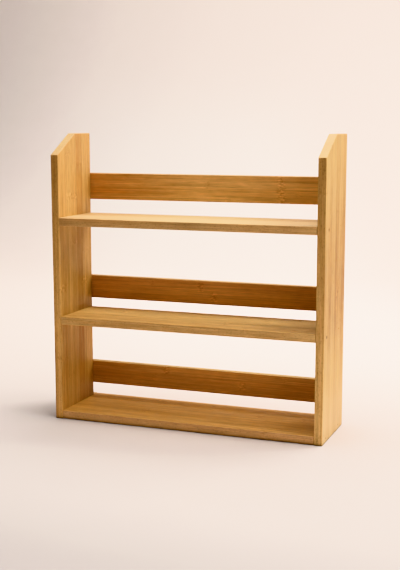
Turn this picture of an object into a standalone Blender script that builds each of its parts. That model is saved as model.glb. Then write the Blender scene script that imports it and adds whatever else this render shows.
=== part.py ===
"""Three-tier bamboo shelf rack.

Two side panels carry three shelves. A back rail above each shelf sits in a
rebate along the panels' inner back edges and stops jars sliding out behind.
Shelves are held by brads through the panels, rails by brads from the back.

Metres, +Z up. Origin: on the standing surface, at the middle of the outer box.
+X is the user's right when facing the front, the front faces -Y.
"""
import math

import bmesh
import bpy
from mathutils import Matrix, Vector

# ---- driving dimensions ----------------------------------------------------
WIDTH = 0.325            # over the outer faces of the side panels
HEIGHT = 0.335           # side panel height
DEPTH = 0.0915           # side panel depth
STOCK = 0.0094           # thickness of every board
GAP = 0.0003             # working gap between pieces that touch
EASE = 0.0008            # eased arris on the boards
EASE_STEPS = 2

# sloped top front corner of the side panels
SLOPE_FRONT_Z = 0.3109   # where the slope leaves the front edge
SLOPE_TOP_Y = 0.0438     # where it reaches the top edge, measured from the front

# rebate for the back rails, inside back edge of each panel
REBATE_X = 0.0050        # cut into the panel's thickness
REBATE_Y = STOCK + GAP   # measured from the back edge

# shelves: (name, underside height, depth from the front edge)
UPPER_SHELF_DEPTH = DEPTH - REBATE_Y + GAP
SHELVES = (
    ("shelf_bottom", 0.0008, DEPTH),
    ("shelf_middle", 0.1135, UPPER_SHELF_DEPTH),
    ("shelf_top", 0.2294, UPPER_SHELF_DEPTH),
)

# back rails: (name, underside height, rail width)
RAILS = (
    ("back_rail_bottom", 0.0257, 0.0279),
    ("back_rail_middle", 0.1334, 0.0280),
    ("back_rail_top", 0.2553, 0.0316),
)

# brads
SHANK_D = 0.0014
HEAD_D = 0.0020
HEAD_H = 0.0009
HEAD_SINK = 0.0004       # head set below the surface
TIP_H = 0.0022
SHELF_BRAD_L = 0.025
RAIL_BRAD_L = 0.020
BRAD_SIDES = 12
# distance of each shelf's front and rear brad from the front edge
SHELF_BRAD_Y = {
    "shelf_bottom": (0.0135, 0.0700),
    "shelf_middle": (0.0124, 0.0670),
    "shelf_top": (0.0147, 0.0680),
}
RAIL_BRAD_SPREAD = 0.25  # of the rail width, above and below its middle

FRONT = -DEPTH / 2
BACK = DEPTH / 2
HALF_W = WIDTH / 2
INNER_X = HALF_W - STOCK
REBATE_SHOULDER_Y = BACK - REBATE_Y
REBATE_WALL_X = INNER_X + REBATE_X
REBATE_FOOT_Z = SHELVES[0][1] + STOCK + GAP


# ---- scene -----------------------------------------------------------------
for old in list(bpy.data.objects):
    bpy.data.objects.remove(old, do_unlink=True)


def make_material(name, colour, roughness, metallic=0.0):
    mat = bpy.data.materials.new(name)
    mat.use_nodes = True
    shader = mat.node_tree.nodes["Principled BSDF"]
    shader.inputs["Base Color"].default_value = (*colour, 1.0)
    shader.inputs["Roughness"].default_value = roughness
    shader.inputs["Metallic"].default_value = metallic
    mat.diffuse_color = (*colour, 1.0)
    return mat


def add_object(name, bm, material=None, parent=None):
    mesh = bpy.data.meshes.new(name)
    bmesh.ops.recalc_face_normals(bm, faces=bm.faces[:])
    bm.to_mesh(mesh)
    bm.free()
    obj = bpy.data.objects.new(name, mesh)
    bpy.context.scene.collection.objects.link(obj)
    if material is not None:
        mesh.materials.append(material)
    if parent is not None:
        obj.parent = parent
    return obj


def prism(bm, outline, z0, z1):
    """Closed prism from a plan outline, extruded from z0 to z1."""
    base = [bm.verts.new((x, y, z0)) for x, y in outline]
    face = bm.faces.new(base)
    out = bmesh.ops.extrude_face_region(bm, geom=[face])
    moved = [g for g in out["geom"] if isinstance(g, bmesh.types.BMVert)]
    bmesh.ops.translate(bm, vec=(0, 0, z1 - z0), verts=moved)


def ease_edges(bm, keep=lambda a, b: True):
    """Round every outside corner edge that keep() accepts."""
    bmesh.ops.recalc_face_normals(bm, faces=bm.faces[:])
    bm.normal_update()
    chosen = []
    for edge in bm.edges:
        if len(edge.link_faces) != 2 or not edge.is_convex:
            continue
        if edge.calc_face_angle(0.0) < math.radians(20):
            continue
        if keep(edge.verts[0].co, edge.verts[1].co):
            chosen.append(edge)
    bmesh.ops.bevel(bm, geom=chosen, offset=EASE, offset_type="OFFSET",
                    segments=EASE_STEPS, profile=0.5, affect="EDGES",
                    clamp_overlap=True)


def lathe(bm, profile, sides):
    """Solid of revolution about Z from (radius, height) points, ends on axis."""
    rings = []
    for radius, height in profile:
        if radius == 0.0:
            rings.append([bm.verts.new((0.0, 0.0, height))])
        else:
            rings.append([bm.verts.new((radius * math.cos(2 * math.pi * i / sides),
                                        radius * math.sin(2 * math.pi * i / sides),
                                        height)) for i in range(sides)])
    for lower, upper in zip(rings, rings[1:]):
        for i in range(sides):
            j = (i + 1) % sides
            if len(lower) == 1:
                bm.faces.new((lower[0], upper[i], upper[j]))
            elif len(upper) == 1:
                bm.faces.new((lower[i], lower[j], upper[0]))
            else:
                bm.faces.new((lower[i], lower[j], upper[j], upper[i]))


# ---- brads: where each one goes --------------------------------------------
def brad_places():
    """(name, head centre on the outer surface, driving direction, length)."""
    places = []
    for shelf, z0, _depth in SHELVES:
        z_mid = z0 + STOCK / 2
        for side, sx in (("left", -1), ("right", 1)):
            for where, from_front in zip(("front", "rear"), SHELF_BRAD_Y[shelf]):
                places.append((f"brad_{shelf}_{side}_{where}",
                               Vector((sx * HALF_W, FRONT + from_front, z_mid)),
                               Vector((-sx, 0, 0)), SHELF_BRAD_L))
    for rail, z0, width in RAILS:
        z_mid = z0 + width / 2
        for side, sx in (("left", -1), ("right", 1)):
            for where, s in (("lower", -1), ("upper", 1)):
                places.append((f"brad_{rail}_{side}_{where}",
                               Vector((sx * (INNER_X + REBATE_X / 2), BACK,
                                       z_mid + s * RAIL_BRAD_SPREAD * width)),
                               Vector((0, -1, 0)), RAIL_BRAD_L))
    return places


BRADS = brad_places()


def driving_matrix(point, direction):
    """Frame whose +Z points back out of the hole along the brad."""
    return Matrix.Translation(point) @ (-direction).to_track_quat("Z", "Y").to_matrix().to_4x4()


def brad_profile(length, clear=0.0):
    """Brad outline along +Z, the outer surface at height 0."""
    head = HEAD_D / 2 + clear
    shank = SHANK_D / 2 + clear
    top = 0.002 if clear else -HEAD_SINK
    under_head = -HEAD_SINK - HEAD_H - clear
    tip = -HEAD_SINK - length - clear
    return [(0.0, tip), (shank * 0.35, tip + 0.15 * TIP_H), (shank, tip + TIP_H),
            (shank, under_head), (head, under_head), (head, top), (0.0, top)]


def brad_cutter(name, brads):
    bm = bmesh.new()
    for _n, point, direction, length in brads:
        start = len(bm.verts)
        lathe(bm, brad_profile(length, clear=GAP), BRAD_SIDES)
        bm.verts.ensure_lookup_table()
        bmesh.ops.transform(bm, matrix=driving_matrix(point, direction),
                            verts=bm.verts[start:])
    cutter = add_object(name, bm)
    cutter.hide_render = True
    cutter.display_type = "WIRE"
    return cutter


def drill(obj, cutter):
    mod = obj.modifiers.new("brad_holes", "BOOLEAN")
    mod.operation = "DIFFERENCE"
    mod.solver = "EXACT"
    mod.object = cutter


def brads_with(*words):
    return [b for b in BRADS if all(w in b[0] for w in words)]


rack = bpy.data.objects.new("rack", None)
bpy.context.scene.collection.objects.link(rack)

BAMBOO_PANEL = (0.70, 0.44, 0.19)
BAMBOO_SHELF = (0.66, 0.40, 0.16)
BAMBOO_RAIL = (0.52, 0.27, 0.08)
STEEL = (0.42, 0.36, 0.30)


# ---- side panels -----------------------------------------------------------
def side_panel(side, sx):
    bm = bmesh.new()
    # outer part runs the full depth, the inner back edge is rebated above the
    # bottom shelf
    outline = [(HALF_W, FRONT), (HALF_W, BACK), (INNER_X, BACK), (INNER_X, FRONT)]
    prism(bm, [(sx * x, y) for x, y in outline], 0.0, HEIGHT)
    # sloped top front corner
    run, rise = SLOPE_TOP_Y, HEIGHT - SLOPE_FRONT_Z
    cut = bmesh.ops.bisect_plane(
        bm, geom=bm.verts[:] + bm.edges[:] + bm.faces[:], dist=1e-7,
        plane_co=(0, FRONT, SLOPE_FRONT_Z), plane_no=(0, -rise, run), clear_outer=True)
    rim = [e for e in cut["geom_cut"] if isinstance(e, bmesh.types.BMEdge)]
    bmesh.ops.contextual_create(bm, geom=rim)
    ease_edges(bm)
    name = f"side_panel_{side}"
    obj = add_object(name, bm, make_material("bamboo_" + name, BAMBOO_PANEL, 0.48), rack)

    bm = bmesh.new()
    over = 0.004
    corner = [(REBATE_WALL_X, REBATE_SHOULDER_Y), (REBATE_WALL_X, BACK + over),
              (INNER_X - over, BACK + over), (INNER_X - over, REBATE_SHOULDER_Y)]
    prism(bm, [(sx * x, y) for x, y in corner], REBATE_FOOT_Z, HEIGHT + over)
    rebate = add_object(name + "_rebate_cutter", bm)
    rebate.hide_render = True
    rebate.display_type = "WIRE"
    mod = obj.modifiers.new("rebate", "BOOLEAN")
    mod.operation = "DIFFERENCE"
    mod.solver = "EXACT"
    mod.object = rebate
    drill(obj, brad_cutter(name + "_brad_cutter", brads_with(f"_{side}_")))
    return obj


# ---- shelves and rails -----------------------------------------------------
def board(name, size, centre, colour, brads):
    bm = bmesh.new()
    bmesh.ops.create_cube(bm, size=1.0)
    bmesh.ops.scale(bm, vec=size, verts=bm.verts[:])
    ease_edges(bm)
    obj = add_object(name, bm, make_material("bamboo_" + name, colour, 0.48), rack)
    obj.location = centre
    drill(obj, brad_cutter(name + "_brad_cutter", brads))
    return obj


for side_name, side_sign in (("left", -1), ("right", 1)):
    side_panel(side_name, side_sign)

for shelf_name, z0, depth in SHELVES:
    board(shelf_name, (2 * (INNER_X - GAP), depth, STOCK),
          (0.0, FRONT + depth / 2, z0 + STOCK / 2), BAMBOO_SHELF,
          brads_with(f"brad_{shelf_name}_"))

for rail_name, z0, width in RAILS:
    board(rail_name, (2 * (REBATE_WALL_X - GAP), STOCK, width),
          (0.0, BACK - STOCK / 2, z0 + width / 2), BAMBOO_RAIL,
          brads_with(f"brad_{rail_name}_"))

# ---- brads -----------------------------------------------------------------
for brad_name, point, direction, length in BRADS:
    bm = bmesh.new()
    lathe(bm, brad_profile(length), BRAD_SIDES)
    brad = add_object(brad_name, bm, make_material("steel_" + brad_name, STEEL, 0.38, 1.0), rack)
    brad.matrix_local = driving_matrix(point, direction)
    brad.data.shade_smooth()
    brad.data.set_sharp_from_angle(angle=math.radians(35))
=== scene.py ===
import math

import bmesh
import bpy
from mathutils import Matrix, Vector


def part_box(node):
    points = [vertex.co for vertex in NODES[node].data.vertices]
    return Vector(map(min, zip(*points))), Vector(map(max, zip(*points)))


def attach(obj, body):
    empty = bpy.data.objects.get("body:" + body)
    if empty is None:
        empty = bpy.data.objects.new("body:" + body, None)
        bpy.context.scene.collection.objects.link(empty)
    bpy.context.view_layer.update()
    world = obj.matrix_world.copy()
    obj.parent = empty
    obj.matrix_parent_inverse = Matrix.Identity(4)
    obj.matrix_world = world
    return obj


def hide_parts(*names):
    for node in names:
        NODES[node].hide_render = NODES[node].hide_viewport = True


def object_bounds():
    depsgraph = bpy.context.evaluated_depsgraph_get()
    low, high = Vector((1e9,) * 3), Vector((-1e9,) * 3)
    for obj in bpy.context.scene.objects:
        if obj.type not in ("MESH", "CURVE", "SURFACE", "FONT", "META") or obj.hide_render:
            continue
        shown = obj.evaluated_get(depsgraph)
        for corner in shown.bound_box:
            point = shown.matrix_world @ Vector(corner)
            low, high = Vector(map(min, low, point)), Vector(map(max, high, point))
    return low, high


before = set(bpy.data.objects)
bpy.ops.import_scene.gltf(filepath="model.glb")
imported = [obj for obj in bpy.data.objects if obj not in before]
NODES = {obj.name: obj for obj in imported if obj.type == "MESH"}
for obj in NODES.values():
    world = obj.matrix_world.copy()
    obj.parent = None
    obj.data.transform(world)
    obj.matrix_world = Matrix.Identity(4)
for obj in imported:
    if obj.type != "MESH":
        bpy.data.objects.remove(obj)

CAD_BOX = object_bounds()
SCENE = bpy.context.scene
SCENE.view_settings.view_transform = "Khronos PBR Neutral"
SCENE.view_settings.look = "None"

# ---- sizes of the rack, in metres ------------------------------------------
LOW, HIGH = CAD_BOX
FRONT, BACK = LOW.y, HIGH.y
HALF_W, HEIGHT = HIGH.x, HIGH.z
STOCK = 0.0094
GAP = 0.0003
INNER_X = HALF_W - STOCK
SLOPE_FRONT_Z = 0.3109
SLOPE_TOP_Y = 0.0438
REBATE_X = 0.0050
REBATE_Y = STOCK + GAP
ROUND = 0.0009           # radius of the sanded arrises
ROUND_STEPS = 4
SHELVES = ("shelf_bottom", "shelf_middle", "shelf_top")
RAILS = ("back_rail_bottom", "back_rail_middle", "back_rail_top")
BRADS = sorted(n for n in NODES if n.startswith("brad_"))


def bruising(node):
    """How far the wood round a brad is bruised, in mm, and how dark. On the panels only the front brads of the
    upper two shelves show: the others are filled over."""
    if "rail" in node:
        return 2.5, 0.38
    if "bottom" in node or not node.endswith("_front"):
        return 1.5, 0.05
    return (2.4, 0.70) if "middle" in node else (3.2, 0.42)


FILLED = [n for n in BRADS if bruising(n)[1] < 0.1]


# ---- shader graphs ---------------------------------------------------------
class Graph:
    """A material's node tree, written as nested calls."""

    def __init__(self, name):
        self.mat = bpy.data.materials.new(name)
        self.mat.use_nodes = True
        self.tree = self.mat.node_tree
        self.tree.nodes.clear()
        self.x = 0

    def node(self, kind, **props):
        n = self.tree.nodes.new(kind)
        for key, value in props.items():
            setattr(n, key, value)
        self.x += 40
        n.location = (self.x, -(self.x % 640))
        return n

    def put(self, socket, value):
        if isinstance(value, bpy.types.NodeSocket):
            self.tree.links.new(value, socket)
        elif isinstance(value, (tuple, list)) and socket.type == "RGBA" and len(value) == 3:
            socket.default_value = (*value, 1.0)
        else:
            socket.default_value = value

    def math(self, op, a, b=0.0, c=0.0, clamp=False):
        n = self.node("ShaderNodeMath", operation=op, use_clamp=clamp)
        for socket, value in zip(n.inputs, (a, b, c)):
            self.put(socket, value)
        return n.outputs[0]

    def add(self, a, b): return self.math("ADD", a, b)
    def sub(self, a, b): return self.math("SUBTRACT", a, b)
    def mul(self, a, b): return self.math("MULTIPLY", a, b)
    def low(self, a, b): return self.math("MINIMUM", a, b)
    def high(self, a, b): return self.math("MAXIMUM", a, b)
    def mad(self, a, b, c): return self.math("MULTIPLY_ADD", a, b, c)

    def ramp(self, value, a, b, lo=0.0, hi=1.0, smooth=True):
        n = self.node("ShaderNodeMapRange", clamp=True,
                      interpolation_type="SMOOTHSTEP" if smooth else "LINEAR")
        for socket, v in zip(n.inputs[:5], (value, a, b, lo, hi)):
            self.put(socket, v)
        return n.outputs[0]

    def vec(self, x=0.0, y=0.0, z=0.0):
        n = self.node("ShaderNodeCombineXYZ")
        for socket, v in zip(n.inputs, (x, y, z)):
            self.put(socket, v)
        return n.outputs[0]

    def split(self, vector):
        n = self.node("ShaderNodeSeparateXYZ")
        self.put(n.inputs[0], vector)
        return n.outputs[:3]

    def noise(self, vector, detail=2.0, rough=0.5, distort=0.0):
        n = self.node("ShaderNodeTexNoise", noise_dimensions="3D")
        self.put(n.inputs["Vector"], vector)
        n.inputs["Scale"].default_value = 1.0
        n.inputs["Detail"].default_value = detail
        n.inputs["Roughness"].default_value = rough
        n.inputs["Distortion"].default_value = distort
        return n.outputs[0]

    def white(self, vector):
        n = self.node("ShaderNodeTexWhiteNoise", noise_dimensions="3D")
        self.put(n.inputs["Vector"], vector)
        return self.split(n.outputs["Color"])

    def cells(self, along, randomness):
        """(cell place, distance to the cell's edge) of a jittered row of cells one unit long."""
        a = self.node("ShaderNodeTexVoronoi", voronoi_dimensions="1D", feature="F1")
        b = self.node("ShaderNodeTexVoronoi", voronoi_dimensions="1D", feature="DISTANCE_TO_EDGE")
        for n in (a, b):
            self.put(n.inputs["W"], along)
            n.inputs["Scale"].default_value = 1.0
            n.inputs["Randomness"].default_value = randomness
        return a.outputs["W"], b.outputs["Distance"]

    def mix(self, fac, a, b, blend="MIX"):
        n = self.node("ShaderNodeMix", data_type="RGBA", blend_type=blend, clamp_factor=True)
        self.put(n.inputs["Factor"], fac)
        self.put(n.inputs[6], a)
        self.put(n.inputs[7], b)
        return n.outputs[2]

    def shade(self, colour, by):
        """colour times a grey value."""
        n = self.node("ShaderNodeVectorMath", operation="SCALE")
        self.put(n.inputs[0], colour)
        self.put(n.inputs["Scale"], by)
        return n.outputs[0]

    def millimetres(self):
        n = self.node("ShaderNodeTexCoord")
        s = self.node("ShaderNodeVectorMath", operation="SCALE")
        self.put(s.inputs[0], n.outputs["Object"])
        s.inputs["Scale"].default_value = 1000.0
        return self.split(s.outputs[0])

    def bump(self, height, strength, depth):
        n = self.node("ShaderNodeBump")
        n.inputs["Strength"].default_value = strength
        n.inputs["Distance"].default_value = depth
        self.put(n.inputs["Height"], height)
        return n.outputs[0]

    def principled(self, **inputs):
        n = self.node("ShaderNodeBsdfPrincipled")
        for key, value in inputs.items():
            self.put(n.inputs[key.replace("_", " ")], value)
        out = self.node("ShaderNodeOutputMaterial")
        self.put(out.inputs["Surface"], n.outputs[0])
        return self.mat


# ---- bamboo ----------------------------------------------------------------
PALE, DEEP = (0.590, 0.340, 0.120), (0.458, 0.229, 0.072)
END_PALE, END_DEEP = (0.74, 0.53, 0.27), (0.40, 0.24, 0.10)


def bamboo(name, box, axes, seed, edges, tones, knots, tint, edge_tint, tone_and_light_drift, rim, ends, cloud, gloss, nails,
           slope=False, lit_far_tint=None, foot_tint=None):
    """Glued bamboo strips. axes names the board's grain, width and thickness directions.
    edges are the glue lines across the width in mm, tones the strips between them from 0, pale, to 1, deep.
    knots lists (grain mm, across mm, half height across mm) of the culm nodes that show most.
    tint is the board's colour and edge_tint that of its long edges. drift is what the tone gains at the start,
    middle and end of the grain, rim what it gains there on the long edges, and how much darker their end is. Both are
    partly the wood's own tone and partly painted light: painted shade deepens the left panel's foot, the rails' ends
    and the top of the panels' front edges, a painted highlight pales the top shelf's middle, and the right panel is
    painted paler at foot and top where light falls on it. ends is how much brighter the cut ends are: on the panels a
    painted highlight on the right slope and painted shade on the left. cloud the strength of the broad streaks, gloss
    that of the sheen.
    nails lists (grain mm, across mm, reach mm, darkening) of the bruised wood round the brads. lit_far_tint colours
    the face that looks along the thickness direction: on the rails their backs, a lit colour apart from the painted
    shade held in their fronts' tint. foot_tint the faces near the start of the grain."""
    g = Graph(name)
    pale, deep = (tuple(c * t for c, t in zip(tone, tint)) for tone in (PALE, DEEP))
    at = dict(zip("xyz", g.millimetres()))
    u, v, w = (at[a] for a in axes)
    u0, u1 = (box[i]["xyz".index(axes[0])] * 1000.0 for i in (0, 1))

    # strips side by side
    sway = g.noise(g.vec(g.mul(u, 0.006), seed * 1.7, 0.0), 1.0)
    v_wavy = g.mad(g.sub(sway, 0.5), 0.9, v)
    strip, tone, seam = 0.0, tones[0], 99.0
    for edge, before, after in zip(edges, tones, tones[1:]):
        past = g.math("GREATER_THAN", v_wavy, edge)
        strip = g.add(past, strip)
        tone = g.mad(past, after - before, tone)
        seam = g.low(g.math("ABSOLUTE", g.sub(v_wavy, edge)), seam)
    ra, rb, rc = g.white(g.vec(strip, 0.5, seed * 1.13))

    # grain runs on its own in each strip
    us = g.mad(ra, 900.0, u)
    vs = g.mad(rb, 130.0, v)
    ws = g.mad(rc, 130.0, w)

    def fibre(ku, kv, detail, rough=0.55, distort=0.0):
        return g.noise(g.vec(g.mul(us, ku), g.mul(vs, kv), g.mul(ws, kv)), detail, rough, distort)

    broad = fibre(0.0035, 0.17, 2.0)
    streak = fibre(0.007, 0.65, 2.0)
    fine = fibre(0.010, 2.3, 3.0, 0.65)
    line = g.mul(g.ramp(g.math("ABSOLUTE", g.sub(fibre(0.007, 0.95, 1.0), 0.5)), 0.0, 0.030, 1.0, 0.0),
                 g.ramp(broad, 0.42, 0.62))
    dash = g.ramp(fibre(0.036, 2.4, 1.0), 0.60, 0.72)
    flow = fibre(0.024, 0.30, 2.0)
    mottle = fibre(0.11, 0.42, 3.0, 0.65)
    short = fibre(0.085, 0.70, 2.0, 0.6)
    haze = fibre(0.018, 0.14, 2.0, 0.6)
    blot = fibre(0.085, 0.17, 2.0, 0.6)
    speck = g.ramp(fibre(0.42, 0.95, 2.0, 0.6), 0.54, 0.70)
    patch = g.noise(g.vec(g.mul(u, 0.014), g.mul(v, 0.03), g.mul(w, 0.03)), 2.0)

    # culm nodes: a faint one in each strip of a culm section, and the ones that are placed
    section = 265.0
    ragged = g.mul(g.sub(g.noise(g.vec(g.mul(v, 0.20), g.mul(w, 0.20), seed * 2.0), 3.0), 0.5), 4.5 if slope else 6.5)
    place = g.math("FRACT", g.mad(u, 1.0 / section, g.mad(rb, 5.0, rc)))
    off = g.math("ABSOLUTE", g.mad(g.sub(place, 0.5), section, ragged))
    zone = g.ramp(off, 0.0, 6.0, 0.45, 0.0)
    scar = g.ramp(off, 0.15, 0.8, 0.5, 0.0)
    for ku, kv, half in knots:
        du = g.math("ABSOLUTE", g.add(g.sub(u, ku), ragged))
        inside = g.ramp(g.math("ABSOLUTE", g.sub(v, kv)), half, half + 2.0, 1.0, 0.0)
        zone = g.high(zone, g.mul(g.ramp(du, 1.0, 7.5, 1.0, 0.0), inside))
        scar = g.high(scar, g.mul(g.ramp(du, 0.15, 1.0, 1.0, 0.0), inside))
    across = 0.45 if slope else 0.66
    flecks = g.noise(g.vec(g.mul(u, 0.24), g.mul(vs, across), g.mul(ws, across)), 2.0, 0.6)
    dark_fleck = g.high(g.mul(zone, g.ramp(flecks, 0.50, 0.62)), g.mul(scar, g.ramp(flecks, 0.40, 0.60, 0.1, 0.7)))
    pale_fleck = g.mul(zone, g.ramp(flecks, 0.48, 0.36))

    # glue lines
    glue = g.ramp(seam, 0.05, 0.28, 1.0, 0.0)

    # long edges, and cut ends where the fibre bundles show as dots
    facing = dict(zip("xyz", g.split(g.node("ShaderNodeNewGeometry").outputs["Normal"])))
    edge = g.ramp(g.math("ABSOLUTE", facing[axes[1]]), 0.60, 0.85)
    end = g.ramp(g.math("ABSOLUTE", facing[axes[0]]), 0.55, 0.80)
    bundles = g.node("ShaderNodeTexVoronoi", voronoi_dimensions="2D", feature="F1")
    g.put(bundles.inputs["Vector"], g.vec(g.mul(v, 1.25), g.mul(w, 1.25)))
    bundles.inputs["Scale"].default_value = 1.0
    dot = g.mul(g.ramp(bundles.outputs["Distance"], 0.16, 0.34, 1.0, 0.0), end)

    # bruised wood round the brads
    bruise = 0.0
    for nu, nv, reach, dark in nails:
        away = g.math("SQRT", g.mad(g.sub(u, nu), g.sub(u, nu), g.math("POWER", g.sub(v, nv), 2.0)))
        bruise = g.high(g.ramp(away, reach / 2, reach, dark, 0.0), bruise)

    # sanded arrises, from the distance to the nearest edge of the board
    gaps = []
    for letter, a, b in zip("xyz", box[0], box[1]):
        gaps.append(g.low(g.sub(at[letter], a * 1000.0), g.sub(b * 1000.0, at[letter])))
    if slope:
        rise, run = HEIGHT - SLOPE_FRONT_Z, SLOPE_TOP_Y
        norm = math.hypot(rise, run)
        ny, nz = -rise / norm, run / norm
        d0 = (ny * FRONT + nz * SLOPE_FRONT_Z) * 1000.0
        gaps[2] = g.low(gaps[2], g.sub(d0, g.mad(at["y"], ny, g.mul(at["z"], nz))))
    a, b, c = gaps
    near = g.high(g.low(a, b), g.low(g.high(a, b), c))
    worn = g.mul(g.ramp(near, 0.2, 1.6, 1.0, 0.0), g.ramp(mottle, 0.35, 0.62, 0.3, 1.0))

    # colour
    middle = (u0 + u1) / 2
    # tone along the grain and on the long edges: partly the wood's own, partly painted shade and painted highlight
    for gain, where in ((tone_and_light_drift, g.sub(1.0, edge)), (rim, edge)):
        tone = g.mad(where, g.add(g.ramp(u, u0, middle, gain[0], gain[1]),
                                  g.ramp(u, middle, u1, 0.0, gain[2] - gain[1])), tone)
    tone = g.mad(g.sub(ra, 0.5), 0.22, tone)
    tone = g.mad(g.sub(broad, 0.5), 1.3, tone)
    tone = g.mad(g.sub(haze, 0.5), cloud * 2.0, tone)
    tone = g.mad(g.sub(blot, 0.5), cloud * 1.3, tone)
    tone = g.mad(g.sub(mottle, 0.5), 0.9, tone)
    tone = g.high(g.low(tone, 1.5), -1.2 if slope else -0.4)
    n = g.node("ShaderNodeMix", data_type="RGBA", clamp_factor=False)
    for socket, value in zip((n.inputs["Factor"], n.inputs[6], n.inputs[7]), (tone, pale, deep)):
        g.put(socket, value)
    colour = g.mix(edge, n.outputs[2], edge_tint, "MULTIPLY")
    # painted light: the rails' tint holds the deep colour their fronts show in shade, and this turns their backs back
    # towards a lit bamboo colour
    if lit_far_tint:
        colour = g.mix(g.ramp(facing[axes[2]], 0.5, 0.8), colour, lit_far_tint, "MULTIPLY")
    if foot_tint:
        colour = g.mix(g.mul(g.sub(1.0, edge), g.ramp(u, u0 + 10.0, u0 + 75.0, 1.0, 0.0)), colour, foot_tint, "MULTIPLY")
    colour = g.mix(g.mul(end, 0.45), colour, g.mix(dot, END_PALE, END_DEEP))
    value = g.mad(g.sub(streak, 0.5), 0.85, 1.0)
    value = g.mad(g.sub(flow, 0.5), 0.40, value)
    value = g.mad(g.sub(fine, 0.5), 0.60, value)
    value = g.mad(g.sub(mottle, 0.5), 0.30, value)
    value = g.mad(g.sub(short, 0.5), 0.42, value)
    value = g.mad(g.sub(patch, 0.5), 0.22, value)
    # painted shade: the long edges darken towards the end of the grain, on the panels towards the top of their front
    # edges
    value = g.mad(edge, g.ramp(u, middle, u1, 0.0, -rim[3]), value)
    value = g.mad(g.mul(edge, speck), -0.30, value)
    # cut ends paler by board; on the panels' slopes this is a painted highlight on the right and painted shade on the
    # left
    value = g.mad(end, ends, value)
    value = g.mad(line, -0.14, value)
    value = g.mad(dash, -0.12, value)
    value = g.mad(glue, -0.17, value)
    value = g.mad(dark_fleck, -0.28, value)
    value = g.mad(pale_fleck, 0.30, value)
    value = g.mad(worn, 0.07, value)
    value = g.sub(value, bruise)
    if slope:
        # painted contact shadow: the panels darker along their feet, where they meet the floor
        value = g.mul(value, g.ramp(u, u0 + 0.7, u0 + 1.9, 0.50, 1.0))
    colour = g.mix(bruise, g.shade(colour, value), (1.0, 0.70, 0.50), "MULTIPLY")
    warm = tuple(c * k for c, k in zip(deep, (0.90, 0.70, 0.55)))
    colour = g.mix(g.mul(dark_fleck, 0.45), colour, warm)

    rough = g.mad(g.sub(fine, 0.5), 0.20, 0.60)
    rough = g.mad(dash, 0.10, rough)
    rough = g.mad(worn, 0.08, rough)
    rough = g.math("ADD", rough, g.mul(g.sub(patch, 0.5), 0.12), clamp=True)

    relief = g.mad(fine, 0.50, g.mul(streak, 0.30))
    relief = g.mad(line, -0.25, relief)
    relief = g.mad(dash, -0.35, relief)
    relief = g.mad(glue, -0.45, relief)
    relief = g.mad(dark_fleck, -0.30, relief)
    relief = g.mad(dot, -0.40, relief)
    return g.principled(Base_Color=colour, Roughness=rough,
                        Normal=g.bump(relief, 0.35, 0.00025),
                        IOR=1.40, Specular_IOR_Level=gloss)


def steel(name, seed, filler=None):
    """Stained steel. filler is the colour of what covers a head that looks along x."""
    g = Graph(name)
    x, y, z = g.millimetres()
    spot = g.noise(g.vec(g.mul(x, 2.1), g.mul(y, 2.1), g.mad(z, 2.1, seed)), 3.0, 0.6)
    fine = g.noise(g.vec(g.mul(x, 9.0), g.mul(y, 9.0), g.mul(z, 9.0)), 2.0)
    stain = g.ramp(spot, 0.42, 0.66)
    colour = g.mix(stain, (0.20, 0.150, 0.110), (0.10, 0.055, 0.028))
    rough = g.mad(stain, 0.22, g.mad(fine, 0.2, 0.38))
    metal = g.mad(stain, -0.45, 0.85)
    if filler:
        bare = g.ramp(g.math("ABSOLUTE", g.split(g.node("ShaderNodeNewGeometry").outputs["Normal"])[0]), 0.5, 0.8, 1.0, 0.0)
        colour = g.mix(bare, filler, colour)
        metal = g.mul(metal, bare)
    return g.principled(Base_Color=colour, Roughness=rough, Metallic=metal,
                        Normal=g.bump(fine, 0.3, 0.00008))


# ---- boards ----------------------------------------------------------------
def link(name, bm):
    bmesh.ops.recalc_face_normals(bm, faces=bm.faces[:])
    mesh = bpy.data.meshes.new(name)
    bm.to_mesh(mesh)
    bm.free()
    obj = bpy.data.objects.new(name, mesh)
    SCENE.collection.objects.link(obj)
    return obj


def round_over(bm, radius, along=None):
    """Rounds the outer edges, or only those that run along one axis."""
    bmesh.ops.recalc_face_normals(bm, faces=bm.faces[:])
    bm.normal_update()
    edges = [e for e in bm.edges
             if len(e.link_faces) == 2 and e.is_convex and e.calc_face_angle(0.0) > 0.35
             and (along is None or abs((e.verts[1].co - e.verts[0].co).normalized()[along]) > 0.99)]
    bmesh.ops.bevel(bm, geom=edges, offset=radius, offset_type="OFFSET", segments=ROUND_STEPS,
                    profile=0.5, affect="EDGES", clamp_overlap=True)


def solid_box(bm, low, high):
    made = bmesh.ops.create_cube(bm, size=1.0)["verts"]
    size = Vector(high) - Vector(low)
    mid = (Vector(high) + Vector(low)) / 2
    bmesh.ops.transform(bm, matrix=Matrix.Translation(mid) @ Matrix.Diagonal((*size, 1.0)), verts=made)
    return made


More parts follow.
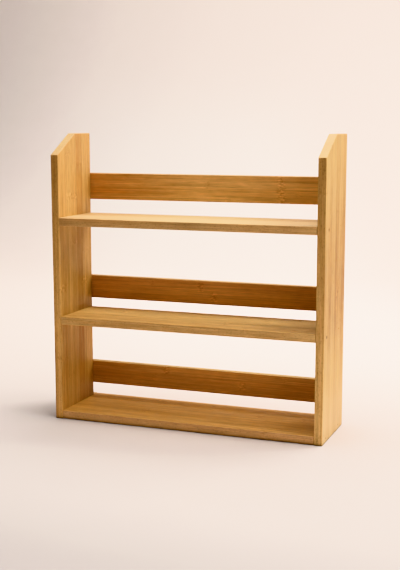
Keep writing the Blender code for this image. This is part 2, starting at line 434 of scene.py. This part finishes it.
def brad_hole(bm, node):
    """A turned hole round one brad, wider where its head sits."""
    low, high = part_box(node)
    size = high - low
    axis = max(range(3), key=lambda i: size[i])
    mid = (low + high) / 2
    out = 1.0 if mid[axis] > 0 else -1.0
    head = high[axis] if out > 0 else low[axis]
    tip = low[axis] if out > 0 else high[axis]
    wide, mouth = (0.00106, 0.00110) if node in FILLED else (0.0013, 0.0016)
    profile = ((0.0, tip - out * 0.0003), (0.0010, tip + out * 0.0020),
               (0.0010, head - out * 0.0012), (wide, head - out * 0.0012),
               (wide, head + out * 0.0003), (mouth, head + out * 0.0005),
               (mouth, head + out * 0.0030), (0.0, head + out * 0.0030))
    sides, rings = 20, []
    others = [i for i in range(3) if i != axis]
    for radius, along in profile:
        ring = []
        for k in range(sides if radius else 1):
            t = 2 * math.pi * k / sides
            p = mid.copy()
            p[axis] = along
            p[others[0]] += radius * math.cos(t)
            p[others[1]] += radius * math.sin(t)
            ring.append(bm.verts.new(p))
        rings.append(ring)
    for one, two in zip(rings, rings[1:]):
        for k in range(sides):
            m = (k + 1) % sides
            if len(one) == 1:
                bm.faces.new((one[0], two[k], two[m]))
            elif len(two) == 1:
                bm.faces.new((one[k], one[m], two[0]))
            else:
                bm.faces.new((one[k], one[m], two[m], two[k]))


def cut(obj, cutters):
    """obj's mesh less the cutters, as its final mesh."""
    for c in cutters:
        m = obj.modifiers.new("cut", "BOOLEAN")
        m.operation, m.solver, m.object = "DIFFERENCE", "EXACT", c
    dg = bpy.context.evaluated_depsgraph_get()
    mesh = bpy.data.meshes.new_from_object(obj.evaluated_get(dg))
    obj.modifiers.clear()
    old = obj.data
    obj.data = mesh
    bpy.data.meshes.remove(old)
    mesh.name = obj.name
    for c in cutters:
        gone = c.data
        bpy.data.objects.remove(c)
        bpy.data.meshes.remove(gone)


def finish_board(obj, node, material):
    holes = bmesh.new()
    for b in BRADS:
        parts = node.split("_")
        side = parts[-1] if node.startswith("side_panel") else None
        if (side and f"_{side}_" in b) or (not side and f"brad_{node}_" in b):
            brad_hole(holes, b)
    cut(obj, [link(node + "_holes", holes)])
    obj.data.shade_smooth()
    obj.data.set_sharp_from_angle(angle=math.radians(40))
    m = obj.modifiers.new("even_normals", "WEIGHTED_NORMAL")
    m.keep_sharp = True
    m.weight = 100
    obj.data.materials.clear()
    obj.data.materials.append(material)
    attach(obj, "root")
    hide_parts(node)
    return obj


def panel(side, sx, material):
    node = "side_panel_" + side
    bm = bmesh.new()
    solid_box(bm, (min(sx * INNER_X, sx * HALF_W), FRONT, 0.0),
              (max(sx * INNER_X, sx * HALF_W), BACK, HEIGHT))
    done = bmesh.ops.bisect_plane(
        bm, geom=bm.verts[:] + bm.edges[:] + bm.faces[:], dist=1e-7,
        plane_co=(0, FRONT, SLOPE_FRONT_Z),
        plane_no=(0, -(HEIGHT - SLOPE_FRONT_Z), SLOPE_TOP_Y), clear_outer=True)
    rim = [e for e in done["geom_cut"] if isinstance(e, bmesh.types.BMEdge)]
    bmesh.ops.contextual_create(bm, geom=rim)
    round_over(bm, ROUND)
    obj = link("bamboo_" + node, bm)
    step = bmesh.new()
    over = 0.004
    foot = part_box("shelf_bottom")[1].z + GAP
    a, b = sx * (INNER_X - over), sx * (INNER_X + REBATE_X)
    solid_box(step, (min(a, b), BACK - REBATE_Y, foot), (max(a, b), BACK + over, HEIGHT + over))
    cut(obj, [link(node + "_rebate", step)])
    return finish_board(obj, node, material)


def plank(node, slot, material):
    low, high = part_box(node)
    bm = bmesh.new()
    solid_box(bm, low, high)
    round_over(bm, ROUND, along=0)
    return finish_board(link("bamboo_" + node, bm), node, material)


# strips of each board: glue lines across it in mm, tones from pale to deep, and its clearest culm nodes
STRIPS = {
    "side_panel_left": ("zyx", (-28.5, -14.5, -0.5, 13.5, 30.0), (0.30, 0.05, 0.25, 0.95, 0.30, 0.45),
                        ((261.5, -13.0, 12.0), (155.5, -37.0, 7.0), (158.5, 17.0, 7.0))),
    "side_panel_right": ("zyx", (-31.0, -16.0, -2.0, 13.0, 29.0), (0.05, 0.48, 0.02, 0.66, 0.18, 0.58),
                         ((156.0, 4.0, 4.0), (163.0, 14.0, 4.0))),
    # the bottom shelf's pale fifth strip and deep last strip are painted light: paler where the back rail's shadow
    # falls, deeper along the back edge
    "shelf_bottom": ("xyz", (-29.5, -14.0, 2.0, 17.5, 32.0), (0.50, 0.34, 0.36, 0.28, -0.20, 0.60),
                     ((-62.0, -11.0, 6.5), (-127.0, 28.5, 5.5), (-65.0, 40.5, 4.0), (74.0, 10.0, 5.0))),
    "shelf_middle": ("xyz", (-30.0, -13.0, 3.0, 20.0), (1.00, 0.42, -0.20, -0.20, 0.10),
                     ((42.0, -21.0, 7.0), (-96.0, 10.0, 6.0))),
    # the top shelf's pale middle strips and deep back strips paint the highlight band on its top face
    "shelf_top": ("xyz", (-29.0, -15.0, 0.5, 16.0), (0.30, -0.10, -0.10, 0.80, 0.60),
                  ((-18.0, -8.0, 6.0), (112.0, -37.0, 6.0))),
    "back_rail_bottom": ("xzy", (34.5, 44.5), (0.40, 0.60, 0.30),
                         ((-55.0, 49.0, 4.0), (43.5, 36.5, 4.0))),
    "back_rail_middle": ("xzy", (142.5, 151.5), (0.55, 0.35, 0.50),
                         ((-9.0, 153.5, 4.5), (7.5, 141.5, 4.5))),
    "back_rail_top": ("xzy", (263.0, 271.0, 279.5), (0.30, 0.55, 0.25, 0.60),
                      ((89.0, 271.0, 15.0),)),
}
# colour of each board and of its long edges, how the tone changes along the grain and on those edges, how bright
# its cut ends are, its streaks and its sheen. The changes along the grain and on the edges, and the panels' end
# brightness, hold painted shade and painted highlight as well as the wood's own tone.
KINDS = {
    "side_panel_left": ((0.87, 0.89, 0.83), (0.99, 0.92, 1.00), (0.75, 0.08, 0.12), (-0.05, -0.45, 0.0, 0.14),
                        -0.10, 0.6, 0.30),
    "side_panel_right": ((0.84, 0.90, 0.87), (1.02, 0.945, 1.03), (-1.0, 0.62, -0.35), (-0.25, 0.10, 0.30, 0.08),
                         0.10, 0.7, 0.30),
    "shelf_bottom": ((1.02, 1.02, 0.93), (0.94, 0.955, 1.38), (0.15, 0.0, 0.15), (0.25, 0.10, 0.0, 0.0),
                     0.0, 0.4, 0.20),
    "shelf_middle": ((1.16, 1.26, 1.21), (0.915, 0.935, 1.17), (0.0, -0.35, -0.30), (-0.20, -0.20, -0.27, 0.0),
                     0.0, 0.4, 0.30),
    # the top shelf's pale tint and its paler middle are a painted highlight: the sheen on its top face
    "shelf_top": ((0.96, 1.13, 1.32), (1.0, 0.885, 0.84), (0.30, -0.55, 0.55), (0.50, 0.22, 0.25, 0.0),
                  0.0, 0.5, 0.80),
    # the rails' tints hold the deep colour their fronts show in shade, painted shade; their ends are deepened where
    # the side panels shade them
    "back_rail_bottom": ((1.03, 0.97, 1.12), (0.86, 1.08, 1.00), (0.55, 0.10, 0.45), (0.35, 0.05, 0.30, 0.0),
                         0.0, 0.4, 0.30),
    "back_rail_middle": ((1.12, 1.02, 1.32), (0.80, 1.02, 0.88), (0.20, -0.50, 0.15), (0.20, -0.15, 0.15, 0.0),
                         0.0, 0.4, 0.30),
    "back_rail_top": ((1.15, 1.15, 1.34), (0.785, 0.945, 0.885), (0.90, -0.60, 0.0), (0.55, -0.30, 0.10, 0.0),
                      0.0, 0.4, 0.30),
}
# the rails' backs' lit colour, apart from the painted shade in their fronts' tint
RAIL_LIT_BACK_TINT = (0.90, 1.03, 0.80)
FOOT_RIGHT = (1.03, 1.05, 1.33)
for k, node in enumerate(sorted(STRIPS)):
    axes, edges, tones, knots = STRIPS[node]
    side = node.startswith("side_panel")
    end_word = node.split("_")[-1]
    nails = []
    for b in BRADS:
        if (b.startswith("brad_shelf_") and side and f"_{end_word}_" in b) or f"brad_{node}_" in b and "rail" in node:
            mid = sum(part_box(b), Vector()) / 2 * 1000.0
            nails.append((mid["xyz".index(axes[0])], mid["xyz".index(axes[1])], *bruising(b)))
    wood = bamboo("bamboo_" + node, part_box(node), axes, 3 + 5 * k, edges, tones, knots, *KINDS[node],
                  nails, slope=side, lit_far_tint=RAIL_LIT_BACK_TINT if node in RAILS else None,
                  foot_tint=FOOT_RIGHT if node == "side_panel_right" else None)
    if side:
        panel(end_word, -1 if node.endswith("left") else 1, wood)
    else:
        plank(node, "bamboo_" + node.split("_")[-2], wood)
STEEL = [steel(f"brad_steel_{k}", 1.0 + 3.7 * k) for k in range(3)]
COVERED = steel("brad_filled", 12.1, (0.47, 0.28, 0.095))
for k, node in enumerate(BRADS):
    mesh = NODES[node].data
    mesh.materials.clear()
    mesh.materials.append(COVERED if node in FILLED else STEEL[k % 3])


# ---- floor and backdrop ----------------------------------------------------
PAPER = ((0.955, 0.852, 0.780), (0.965, 0.862, 0.790))
# colour of a painted patch of light on the paper
PAINTED_POOL = (0.99, 0.912, 0.845)
# glow colours of the veil and dome: painted light
PAINTED_GLOW, PAINTED_SKY_GLOW = (0.93, 0.835, 0.775), (0.91, 0.825, 0.77)


def stage_piece(name, bm, material):
    mesh = bpy.data.meshes.new(name)
    bm.to_mesh(mesh)
    bm.free()
    mesh.shade_smooth()
    mesh.materials.append(material)
    obj = bpy.data.objects.new(name, mesh)
    SCENE.collection.objects.link(obj)
    return obj


def cove(wide, near, top, lift):
    """A floor that curves up into a wall behind, lifted towards the front by a little."""
    far, radius = 1.15, 0.9
    line = [(near, lift), (far, lift)]
    for k in range(1, 33):
        t = math.pi / 2 * k / 32
        line.append((far + (radius - lift) * math.sin(t), radius - (radius - lift) * math.cos(t)))
    line.append((far + radius - lift, top))
    bm = bmesh.new()
    rows = [[bm.verts.new((x, y, z)) for x in (-wide, wide)] for y, z in line]
    for one, two in zip(rows, rows[1:]):
        bm.faces.new((one[0], one[1], two[1], two[0]))
    return bm


def sweep():
    g = Graph("studio_paper_with_painted_light")
    x, y, z = g.millimetres()
    tooth = g.noise(g.vec(g.mul(x, 0.02), g.mul(y, 0.02), g.mul(z, 0.02)), 3.0)
    # painted light: a paler patch on the paper in a lane behind the rack, fading up the wall
    lane = g.math("ABSOLUTE", g.sub(g.mad(y, 0.505, x), 200.0))
    painted_light_pool = g.mul(g.mul(g.ramp(lane, 170.0, 540.0, 1.0, 0.0), g.ramp(y, 0.0, 400.0)), g.ramp(z, 220.0, 560.0, 1.0, 0.0))
    colour = g.mix(painted_light_pool, g.mix(g.ramp(tooth, 0.3, 0.7), *PAPER), PAINTED_POOL)
    # painted shade: the paper darker towards the front, as light falls off away from the lamps
    colour = g.shade(colour, g.mul(g.ramp(y, -150.0, 700.0, 0.60, 1.0), g.ramp(y, -420.0, -270.0, 0.80, 1.0)))
    stage_piece("studio_sweep", cove(3.2, -9.0, 3.2, 0.0),
                g.principled(Base_Color=colour, Roughness=0.9, Specular_IOR_Level=0.1))


def haze():
    """What shows in the other views where the light on the floor ends: a veil over its far parts, thin at its
    inner edge, and a dome past it, both glowing, painted light that stands in for lit paper and air. They light
    nothing."""
    shell = bmesh.new()
    bmesh.ops.create_uvsphere(shell, u_segments=48, v_segments=24, radius=14.0)
    for name, bm in (("studio_glowing_veil", cove(13.0, -13.0, 6.0, 0.0005)), ("studio_glowing_dome", shell)):
        g = Graph(name)
        x, y, z = g.millimetres()
        cover = 1.0
        if bm is not shell:
            away = g.math("SQRT", g.mad(x, x, g.mul(y, y)))
            ahead = g.mul(g.ramp(away, 600.0, 1500.0), g.ramp(y, 200.0, 800.0, 1.0, 0.0))
            left = g.mul(g.ramp(g.mad(y, 0.61, x), -300.0, -900.0), g.ramp(y, 200.0, 800.0))
            cover = g.high(g.high(g.add(ahead, left), g.ramp(x, 500.0, 1500.0)), g.ramp(z, 900.0, 1700.0))
        obj = stage_piece(name, bm, g.principled(
            Base_Color=(0.0, 0.0, 0.0), Specular_IOR_Level=0.0, Alpha=cover,
            Emission_Color=g.mix(g.ramp(z, 0.0, 9000.0), PAINTED_GLOW, PAINTED_SKY_GLOW), Emission_Strength=1.0))
        for ray in ("diffuse", "glossy", "transmission", "volume_scatter", "shadow"):
            setattr(obj, "visible_" + ray, False)


sweep()
haze()


# ---- light -----------------------------------------------------------------
def softbox(name, at, to, wide, high, watts, colour):
    lamp = bpy.data.lights.new(name, "AREA")
    lamp.shape = "RECTANGLE"
    lamp.size, lamp.size_y = wide, high
    lamp.energy = watts
    lamp.color = colour
    obj = bpy.data.objects.new(name, lamp)
    obj.location = at
    obj.rotation_euler = (Vector(to) - Vector(at)).to_track_quat("-Z", "Y").to_euler()
    obj.visible_camera = False
    SCENE.collection.objects.link(obj)
    return obj


WHITE = (1.0, 0.985, 0.99)
softbox("overhead", (0.15, 0.25, 1.5), (0.0, 0.0, 0.2), 1.4, 1.2, 16.6, WHITE)
softbox("top", (0.0, -0.11, 1.3), (0.0, 0.0, 0.2), 0.7, 0.5, 9.5, WHITE)
softbox("over_back", (0.3, 1.0, 1.4), (0.0, 0.0, 0.2), 1.2, 0.8, 8.3, WHITE)
softbox("back_right", (1.1, 0.9, 1.2), (0.0, 0.0, 0.2), 0.8, 0.8, 12.7, WHITE)
softbox("right_high", (1.1, -0.1, 1.3), (0.0, 0.0, 0.25), 0.6, 0.6, 12.4, WHITE)
softbox("right_front", (1.2, -1.0, 0.8), (0.0, 0.0, 0.2), 0.9, 1.0, 2.4, WHITE)
softbox("backdrop", (0.5, 0.7, 1.9), (0.2, 2.05, 0.7), 1.6, 0.6, 26.0, WHITE)
softbox("glow", (-0.1, 0.9, 0.85), (-0.4, 1.95, 0.2), 0.9, 0.5, 2.6, WHITE)
BOUNCE = (1.0, 0.90, 0.83)
softbox("bounce_front", (0.1, -0.573, 0.002), (0.1, -0.573, 1.0), 2.0, 1.05, 4.9, BOUNCE)
softbox("bounce_right", (0.68, 0.15, 0.002), (0.68, 0.15, 1.0), 1.02, 0.5, 1.0, BOUNCE)

world = bpy.data.worlds.new("studio_air")
world.use_nodes = True
world.node_tree.nodes["Background"].inputs["Color"].default_value = (1.0, 0.95, 0.9, 1.0)
world.node_tree.nodes["Background"].inputs["Strength"].default_value = 0.01
SCENE.world = world


# ---- camera ----------------------------------------------------------------
AZIMUTH, PITCH, ROLL = 0.36334, 0.14915, -0.000905
RANGE, SIDE, RISE = 1.224395, 0.006558, -0.004170
FOCAL_PX = 1068.797
ahead = Vector((-math.sin(AZIMUTH) * math.cos(PITCH), math.cos(AZIMUTH) * math.cos(PITCH), -math.sin(PITCH)))
right = Vector((math.cos(AZIMUTH), math.sin(AZIMUTH), 0.0))
upward = right.cross(ahead)
eye = Vector((0.0, FRONT + 0.037, HEIGHT / 2)) - RANGE * ahead + SIDE * right + RISE * upward
cr, sr = math.cos(ROLL), math.sin(ROLL)
r2, u2 = cr * right + sr * upward, -sr * right + cr * upward
lens = bpy.data.cameras.new("photo_view")
lens.sensor_width = 36.0
lens.lens = FOCAL_PX * lens.sensor_width / 570.0
lens.clip_start, lens.clip_end = 0.05, 30.0
camera = bpy.data.objects.new("photo_view", lens)
camera.matrix_world = Matrix.Translation(eye) @ Matrix((r2, u2, -ahead)).transposed().to_4x4()
SCENE.collection.objects.link(camera)
SCENE.camera = camera

bpy.context.view_layer.update()
